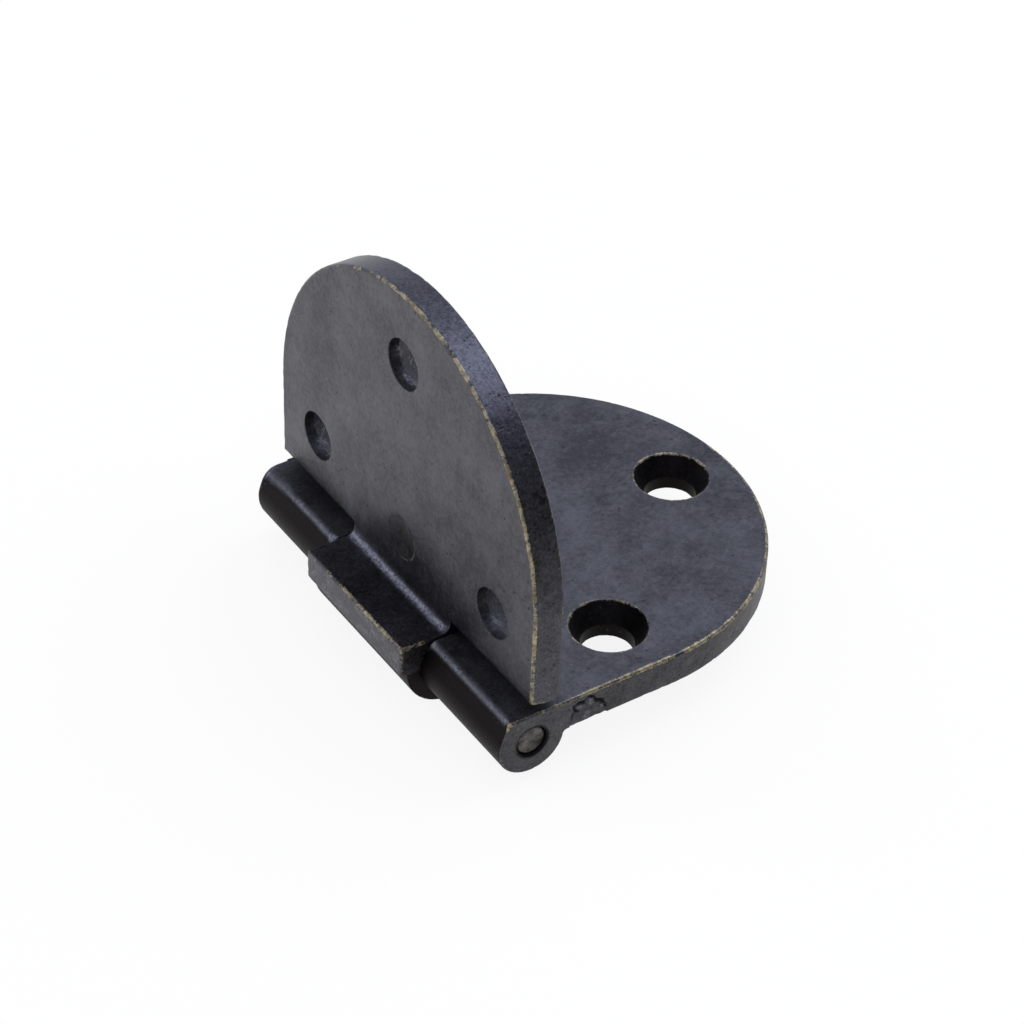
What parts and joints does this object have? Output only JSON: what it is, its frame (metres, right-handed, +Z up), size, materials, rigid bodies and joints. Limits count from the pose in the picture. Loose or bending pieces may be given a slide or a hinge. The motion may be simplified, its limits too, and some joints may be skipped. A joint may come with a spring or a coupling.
{
  "type": "drop leaf table hinge",
  "caption": "Half-round leaf hinge with countersunk screw holes and a stout middle knuckle on a plain pin, for the falling leaf of a table.",
  "frame": {"origin": "on the pin axis, halfway along the hinge", "axes": "+Y along the pin, +X out over the fixed leaf, which lies flat, +Z up along the moving leaf"},
  "size_m": [0.0439, 0.045, 0.0412],
  "materials": {
    "bronzed_brass": "cast, dark bronzed, worn to bare brass along the edges",
    "pin_steel": "dull, darkened with age"
  },
  "bodies": {
    "fixed_leaf": {"fixed_leaf": "bronzed_brass", "hinge_pin": "pin_steel"},
    "moving_leaf": {"moving_leaf": "bronzed_brass"}
  },
  "joints": [
    {"name": "leaf_hinge", "type": "hinge", "parent": "fixed_leaf", "child": "moving_leaf", "pos_m": [0, 0, 0], "axis": [0, -1, 0], "range_deg": [-15, 175]}
  ]
}
